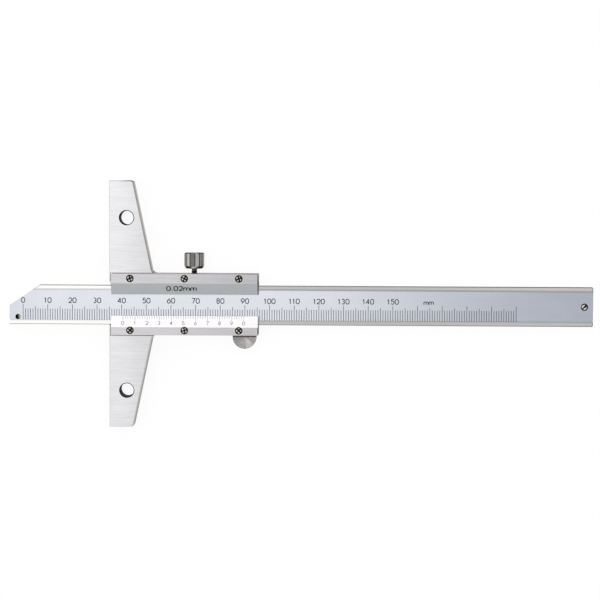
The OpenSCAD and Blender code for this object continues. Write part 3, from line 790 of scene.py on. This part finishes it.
def refined(corners: list[Pair], step: float, bevel: float = 0.0) -> Array:
    """Profile through some corners, with its corners cut and its straights divided.

    Args:
        corners: radius and height of each corner, in order.
        step: longest distance between two points.
        bevel: distance from a corner at which it is cut off.

    Returns:
        The points, one row each.
    """
    path = [np.array(corners[0], float)]
    for before, here, after in zip(corners, corners[1:], corners[2:]):
        corner, into, out = np.array(here, float), np.array(before) - here, np.array(after) - here
        reach = min(bevel, np.linalg.norm(into) * 0.4, np.linalg.norm(out) * 0.4)
        if reach > 0:
            first, last = corner + into / np.linalg.norm(into) * reach, corner + out / np.linalg.norm(out) * reach
            path += [first, (first + last) / 4 + corner / 2, last]
        else:
            path.append(corner)
    path.append(np.array(corners[-1], float))
    points = [path[0][None]]
    for start, end in zip(path, path[1:]):
        parts = max(1, math.ceil(np.linalg.norm(end - start) / step))
        points.append(start + (end - start) * (np.arange(1, parts + 1) / parts)[:, None])
    return np.concatenate(points)


def stand_along_y(points: Array, x: float, z: float) -> Array:
    """Turns a shape on the Z axis so that its height runs along +Y and its angle 0 faces +Z."""
    return np.stack([x + points[:, 1], points[:, 2], z + points[:, 0]], -1)


def stand_along_z(points: Array, x: float, y: float, turn: float) -> Array:
    """Moves a shape on the Z axis to x and y, turned by some degrees."""
    c, s = math.cos(math.radians(turn)), math.sin(math.radians(turn))
    return np.stack([x + c * points[:, 0] - s * points[:, 1], y + s * points[:, 0] + c * points[:, 1],
                     points[:, 2]], -1)


class Recess(Enum):
    """Shape of a screw's drive."""

    CROSS = "cross"
    SLOT = "slot"


@dataclass
class Drive:
    """A screw's drive, as a hollow in its face."""

    kind: Recess
    width: float
    reach: float
    depth: float
    wall: float = 0.05

    def hollow(self, radius: Array, angle: Array) -> Array:
        """Depth of the hollow at a point of the face.

        Args:
            radius: distance from the screw's axis.
            angle: angle round it.

        Returns:
            The deeper of the wings' depths: a wing is as deep as its drive at the axis, shallower outwards, and its
            walls fall over a short distance.
        """
        u, v = np.abs(radius * np.cos(angle)), np.abs(radius * np.sin(angle))
        deepest = np.zeros_like(u)
        for along, across in ((u, v), (v, u)) if self.kind is Recess.CROSS else ((u, v),):
            beside = np.clip((self.width / 2 - across) / self.wall + 0.5, 0, 1)
            inside = np.clip((self.reach - along) / self.wall + 0.5, 0, 1)
            taper = 1 - 0.45 * np.clip(along / self.reach, 0, 1) if self.kind is Recess.CROSS else 1.0
            deepest = np.maximum(deepest, self.depth * beside * inside * taper)
        return deepest


@dataclass
class Screw:
    """A small screw with a drive in its head, which stands for one CAD node."""

    node: str
    body: str
    corners: list[Pair]
    drive: Drive
    face: float
    worn_r: float
    turn: float = 0.0
    finish: Finish = ScrewSteel()
    steps: int = 96

    def surface(self) -> Surface:
        """The screw on the Z axis: its profile turned, with the drive pressed into its face."""

        def press(radius: Array, height: Array, angle: Array) -> Array:
            """The drive's hollow, on the face alone."""
            return -self.drive.hollow(radius, angle) * (height > self.face - 0.06)

        return lathe(refined(self.corners, 0.055, 0.06), self.steps, lift=press)

    def wear_and_shade(self, points: Array) -> Array:
        """How far the face is bright: worn metal, less where shade is painted.

        Args:
            points: the screw's points on the Z axis.

        Returns:
            1 on the face inside the worn radius and clear of the drive, less towards the upper right as the cosine of
            the angle from there rises as painted shade, and 0 elsewhere: drive and rim stay dark as painted shade.
        """
        radius, angle = np.hypot(points[:, 0], points[:, 1]), np.arctan2(points[:, 1], points[:, 0])
        clear = self.drive.hollow(radius, angle) < 0.02
        on_face = clear & (points[:, 2] > self.face - 0.02) & (radius < self.worn_r)
        # painted shade: the bright face dims towards the upper right; the drive and the ring outside stay dark
        return on_face * (1 - 0.6 * np.clip(np.cos(angle + math.radians(self.turn - 30)), 0, 1))

    def make(self, placed: Callable) -> None:
        """Builds, dresses and mounts the screw.

        Args:
            placed: moves the points from the Z axis to the screw's place.
        """
        points, faces = self.surface()
        obj = mesh_object(f"{self.node}_body", placed(points), faces, 32)
        carry(obj, "wear_and_shade", self.wear_and_shade(points))
        self.finish.dress(obj)
        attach(obj, self.body)
        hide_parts(self.node)


@dataclass
class PlateScrews:
    """Six countersunk screws with cross recesses, three to a plate."""

    first_x: float = 8.5
    pitch: float = 22.0
    from_middle: float = 10.5
    top_z: float = 8.15
    head_r: float = 1.5
    worn_r: float = 1.02
    shank_r: float = 0.8
    length: float = 3.05
    turns: tuple[float, ...] = (20, 65, 20, 50, 15, 45)

    def build(self) -> None:
        """Makes the six screws, each turned its own way."""
        top = self.top_z
        corners = [(0, top - self.length), (self.shank_r - 0.2, top - self.length),
                   (self.shank_r, top - self.length + 0.2), (self.shank_r, top - 0.65),
                   (self.head_r, top - 0.15), (self.head_r, top), (0, top)]
        drive = Drive(Recess.CROSS, 0.5, 1.1, 0.62)
        for index, turn in enumerate(self.turns):
            x = self.first_x + index % 3 * self.pitch
            y = self.from_middle if index < 3 else -self.from_middle
            screw = Screw(f"plate_screw_{index + 1}", "base", corners, drive, top, self.worn_r, turn)
            screw.make(lambda p, x=x, y=y, turn=turn: stand_along_z(p, x, y, turn))


@dataclass
class SlottedScrews:
    """The stop screw in the beam's end and the gib's two grub screws."""

    stop_x: float = 192.5
    stop_y: float = -0.37
    stop_z: Pair = (1.23, 5.48)
    stop_r: float = 1.45
    stop_turn: float = 45.0
    gib_x: Pair = (22.8, 45.8)
    gib_z: float = 4.08
    gib_y: Pair = (8.68, 12.3)
    body_y: float = 9.43
    gib_r: float = 1.0
    dog_r: float = 0.64

    def build(self) -> None:
        """Makes the three screws."""
        low, high = self.stop_z
        corners = [(0, low), (self.stop_r - 0.2, low), (self.stop_r, low + 0.2), (self.stop_r, high - 0.2),
                   (self.stop_r - 0.2, high), (0, high)]
        drive = Drive(Recess.SLOT, 0.5, 9.0, 0.7)
        stop = Screw("stop_screw", "beam", corners, drive, high, 1.05, self.stop_turn)
        stop.make(lambda p: stand_along_z(p, self.stop_x, self.stop_y, self.stop_turn))
        low, high = self.gib_y
        corners = [(0, low), (self.dog_r, low), (self.dog_r, self.body_y), (self.gib_r, self.body_y + 0.2),
                   (self.gib_r, high - 0.2), (self.gib_r - 0.2, high), (0, high)]
        drive = Drive(Recess.SLOT, 0.35, 9.0, 0.6)
        for index, x in enumerate(self.gib_x):
            grub = Screw(f"gib_screw_{index + 1}", "base", corners, drive, high, 0.7)
            grub.make(lambda p, x=x: stand_along_y(p, x, self.gib_z))


@dataclass
class LockScrew:
    """Turned lock screw: fluted head with a cone below, collar, threaded neck and plain tip."""

    x: float = 34.3
    z: float = 4.08
    tip_y: float = 9.10
    head_y: float = 14.5
    head_h: float = 6.45
    head_r: float = 4.05
    neck_r: float = 1.0
    thread_r: float = 1.22
    thread_pitch: float = 0.45
    flutes: int = 12
    flute_depth: float = 0.34
    flute_share: float = 0.24
    phase: float = -7.5

    def profile(self) -> Array:
        """Radius and height from the tip to the top of the head."""
        top = self.head_y + self.head_h
        shank = refined([(0, self.tip_y), (0.9, self.tip_y), (0.9, self.tip_y + 0.8), (1.15, self.tip_y + 1.1),
                         (1.15, self.head_y - 0.9), (1.05, self.head_y - 0.85), (1.05, self.head_y - 0.3),
                         (1.2, self.head_y - 0.15), (1.2, self.head_y)], 0.05, 0.03)
        head = refined([(1.2, self.head_y), (self.head_r - 0.7, self.head_y), (self.head_r, self.head_y + 1.1),
                        (self.head_r, top - 0.35), (self.head_r - 0.35, top), (0, top)], 0.16, 0.1)
        return np.concatenate([shank, head[1:]])

    def flute(self, radius: Array, height: Array, angle: Array) -> Array:
        """Radius with thread and flutes.

        Args:
            radius: the profile's radius.
            height: place along the screw.
            angle: angle round it.

        Returns:
            On the neck a saw wave that climbs one pitch a turn. On the head the smaller of the profile's radius and
            the flutes' radius, which dips as a parabola once for each flute.
        """
        turn = angle / (2 * np.pi)
        wave = np.abs(((height / self.thread_pitch - turn) % 1) * 2 - 1)
        threaded = self.neck_r + (self.thread_r - self.neck_r) * wave
        on_thread = (height > self.tip_y + 1.15) & (height < self.head_y - 0.95)
        period = ((turn - self.phase / 360) * self.flutes) % 1 - 0.5
        dip = np.clip(1 - (period / self.flute_share) ** 2, 0, None)
        fluted = np.minimum(radius, self.head_r - self.flute_depth * dip)
        return np.where(on_thread, threaded, np.where(height > self.head_y - 0.01, fluted, radius))

    def marks(self, points: Array) -> dict[str, Array]:
        """Painted rib sheen, painted shade and painted highlight of each point.

        Args:
            points: the screw's points on the Z axis.

        Returns:
            A painted rib sheen as a sine that is high on every second rib. Painted shade in the flutes, on the thread
            (less along a painted light line), and away from the front on the cone, the top edge and the left side. A
            painted highlight on the cone's front.
        """
        radius, height = np.hypot(points[:, 0], points[:, 1]), points[:, 2]
        turn = np.arctan2(points[:, 1], points[:, 0]) / (2 * np.pi)
        ribs = (turn - self.phase / 360) * self.flutes - 0.5
        on_head = height > self.head_y + 0.01
        # painted light and shade: dark flutes, dark sides away from the front, dark top edge and left side, bright
        # cone front
        in_flute = np.clip(1 - np.abs((ribs + 0.5) % 1 - 0.5) / (self.flute_share * 0.8), 0, 1)
        on_side = on_head & (radius > self.head_r - self.flute_depth - 0.1)
        over, front = np.sin(turn * 2 * np.pi), np.cos(turn * 2 * np.pi) > 0
        sideways = np.clip(np.abs(over) * 5 - 1, 0, 1)
        lower = np.clip(1.3 - (height - self.head_y) / 0.9, 0, 1) * on_head
        top = (height > self.head_y + self.head_h - 0.4) * sideways * 0.9
        left = np.clip((-over - 0.84) * 10, 0, 1) * on_side
        neck = height < self.head_y
        # painted highlight: a light line along the middle of the thread, which takes painted shade away
        light = np.clip(1 - np.abs(over + 0.15) * 5, 0, 1) * 0.4 + (over < -0.55) * 0.25
        return {"painted_rib_sheen": 0.5 + 0.5 * np.sin(ribs * np.pi) * on_side,
                "painted_shade": np.clip(in_flute * on_side + lower * sideways + top + left + neck * (1 - light), 0, 1),
                "bright": lower * front * (1 - np.clip(np.abs(over) * 6 - 1, 0, 1)) * 0.9}

    def build(self) -> None:
        """Makes the screw."""
        points, faces = lathe(self.profile(), self.flutes * 24, self.flute)
        obj = mesh_object("lock_screw_turned", stand_along_y(points, self.x, self.z), faces, 28)
        for name, values in self.marks(points).items():
            carry(obj, name, values)
        LockSteel("lock_screw_steel", "turned_steel", centre=(self.x, self.z), axis=Grain.ALONG_Y,
                  ring=0.3).dress(obj)
        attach(obj, "lock")
        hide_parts("lock_screw")


@dataclass
class ThumbRoller:
    """Face-turned disc with a fine straight knurl and a blind bore from its back."""

    centre: Pair = ROLLER_AXIS
    z: Pair = (2.45, 4.45)
    radius: float = 4.88
    chamfer: float = 0.22
    bore_r: float = 1.04
    bore_depth: float = 1.4
    teeth: int = 90
    tooth: float = 0.09
    ring: float = 0.21
    ring_depth: float = 0.018

    def knurl(self, radius: Array, height: Array, angle: Array) -> Array:
        """Radius with teeth: near the rim it dips as a cosine, once for each tooth."""
        near = np.clip((radius - self.radius + 0.35) / 0.2, 0, 1)
        return radius - self.tooth * near * (0.5 - 0.5 * np.cos(angle * self.teeth))

    def rings(self, radius: Array, height: Array, angle: Array) -> Array:
        """Height with turning grooves: a triangle wave of the radius on both flat faces."""
        wave = np.abs((radius / self.ring) % 1 - 0.5) * 2
        flat = (radius < self.radius - 0.45) & (radius > self.bore_r + 0.1)
        front, back = height > self.z[1] - 0.001, height < self.z[0] + 0.001
        return np.where(flat & front, -self.ring_depth * wave, np.where(flat & back, self.ring_depth * wave, 0.0))

    def build(self) -> None:
        """Makes the roller."""
        low, high = self.z
        r, c = self.radius, self.chamfer
        corners = [(0, low + self.bore_depth), (self.bore_r, low + self.bore_depth), (self.bore_r, low + 0.1),
                   (self.bore_r + 0.1, low), (r - c, low), (r, low + c), (r, high - c), (r - c, high), (0, high)]
        points, faces = lathe(refined(corners, 0.0525), self.teeth * 4, self.knurl, self.rings)
        obj = mesh_object("thumb_roller_turned", stand_along_z(points, *self.centre, 0), faces, 25)
        RollerSteel("roller_face_steel", "roller_steel", colour=srgb(184, 181, 180), centre=self.centre,
                    ring=0.13, roughness=0.34, grime=0.12, speckle=0.5).dress(obj)
        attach(obj, "roller")
        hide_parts("thumb_roller")


@dataclass
class SteelWork:
    """The CAD pieces that keep their own meshes and get their finishes here."""

    finishes: dict[str, Finish] = field(default_factory=lambda: {
        "base_frame": BaseSteel("ground_base_steel", "ground_steel"),
        "beam": ScaleSteel("beam_steel", "satin_steel"),
        "upper_plate": PlateSteel("upper_plate_steel", "plate_steel"),
        # the vernier band's whiter satin is partly painted light: it slopes towards the light, the upper band away
        # from it
        "vernier_plate": PlateSteel("vernier_plate_steel", "vernier_steel", satin=WHITE,
                                    face=srgb(218, 216, 219), side_sign=-1.0, edge_y=-4.72, band_end_x=(60.22, 60.3),
                                    end_x=(60.05, 60.12), end_tone=srgb(98, 92, 86),
                                    paint=Paint(colour=srgb(100, 100, 104))),
        "gib": GibBrass("gib_drawn_brass", "gib_brass"),
        "roller_pin": TurnedSteel("pin_steel", "turned_steel", centre=ROLLER_AXIS),
    })

    def build(self) -> None:
        """Dresses each piece."""
        for node, finish in self.finishes.items():
            finish.dress(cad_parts[node])
            LOG.info("%s: %s", node, finish.name)


@dataclass
class Studio:
    """Pale floor, soft light from above and from the top of the picture, and the camera."""

    camera_at: Colour = (80.1, 47.8, 700.0)
    tilt: Colour = (0.0659, -0.0043, -0.0051)
    focal_px: float = 1716.6
    floor_size: float = 24000.0
    floor_z: float = -0.02
    level: float = 1.21
    right_loss: float = 0.35
    low_loss: float = 0.52
    rim_level: float = 0.72
    rim_swing: float = 0.12

    def camera(self) -> None:
        """Makes the camera, whose turn is a rotation vector on top of a straight look down."""
        data = bpy.data.cameras.new("photo_camera")
        data.sensor_width = SENSOR_MM
        data.lens = self.focal_px / IMAGE_PX * SENSOR_MM
        data.clip_start, data.clip_end = CLIP_M
        obj = add_object("photo_camera", data)
        axis = Vector(self.tilt)
        turn = Matrix.Rotation(axis.length, 4, axis.normalized()).inverted()
        obj.matrix_world = Matrix.Translation(Vector(self.camera_at) * MM) @ turn
        bpy.context.scene.camera = obj

    def floor(self) -> None:
        """Makes the floor just under the gauge."""
        half = self.floor_size / 2
        points = np.array([[x * half, y * half, self.floor_z] for x, y in ((-1, -1), (1, -1), (1, 1), (-1, 1))])
        mesh = bpy.data.meshes.new("floor")
        mesh.from_pydata((points * MM).tolist(), [], [(0, 1, 2, 3)])
        obj = add_object("floor", mesh)
        PaleFloor("pale_floor", "").dress(obj)

    def sky(self) -> None:
        """Makes the soft surround.

        Overhead it is white, and falls off to the right and towards the bottom of the picture. Near the horizon it
        is darker, a little less so at the left and at the bottom.
        """
        world = bpy.data.worlds.new("studio")
        bpy.context.scene.world = world
        world.use_nodes = True
        graph = Graph(world.node_tree)
        x, y, z = graph.parts(graph.node("ShaderNodeTexCoord", {}, {}).outputs["Generated"])
        high = (1 - x.rise(-0.05, 0.3) * self.right_loss) * (1 - (1 - y.rise(-0.5, 0.1)) * self.low_loss)
        low = self.rim_level - (x + y) * self.rim_swing
        level = (low + (high - low) * z.rise(0.12, 0.45)) * self.level
        light = graph.node("ShaderNodeBackground", {}, {"Color": WHITE, "Strength": level})
        graph.node("ShaderNodeOutputWorld", {}, {"Surface": light.outputs[0]})

    def build(self) -> None:
        """Makes floor, surround and camera."""
        self.floor()
        self.sky()
        self.camera()
        bpy.context.scene.view_settings.view_transform = "Standard"
        LOG.info("studio: ready")


def main() -> None:
    """Builds the gauge's pieces and the studio in order."""
    logging.basicConfig(level=logging.INFO, format="%(message)s")
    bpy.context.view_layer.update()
    for assembly in (SteelWork(), PlateScrews(), SlottedScrews(), LockScrew(), ThumbRoller(), Studio()):
        assembly.build()


if __name__ == "__main__":
    main()
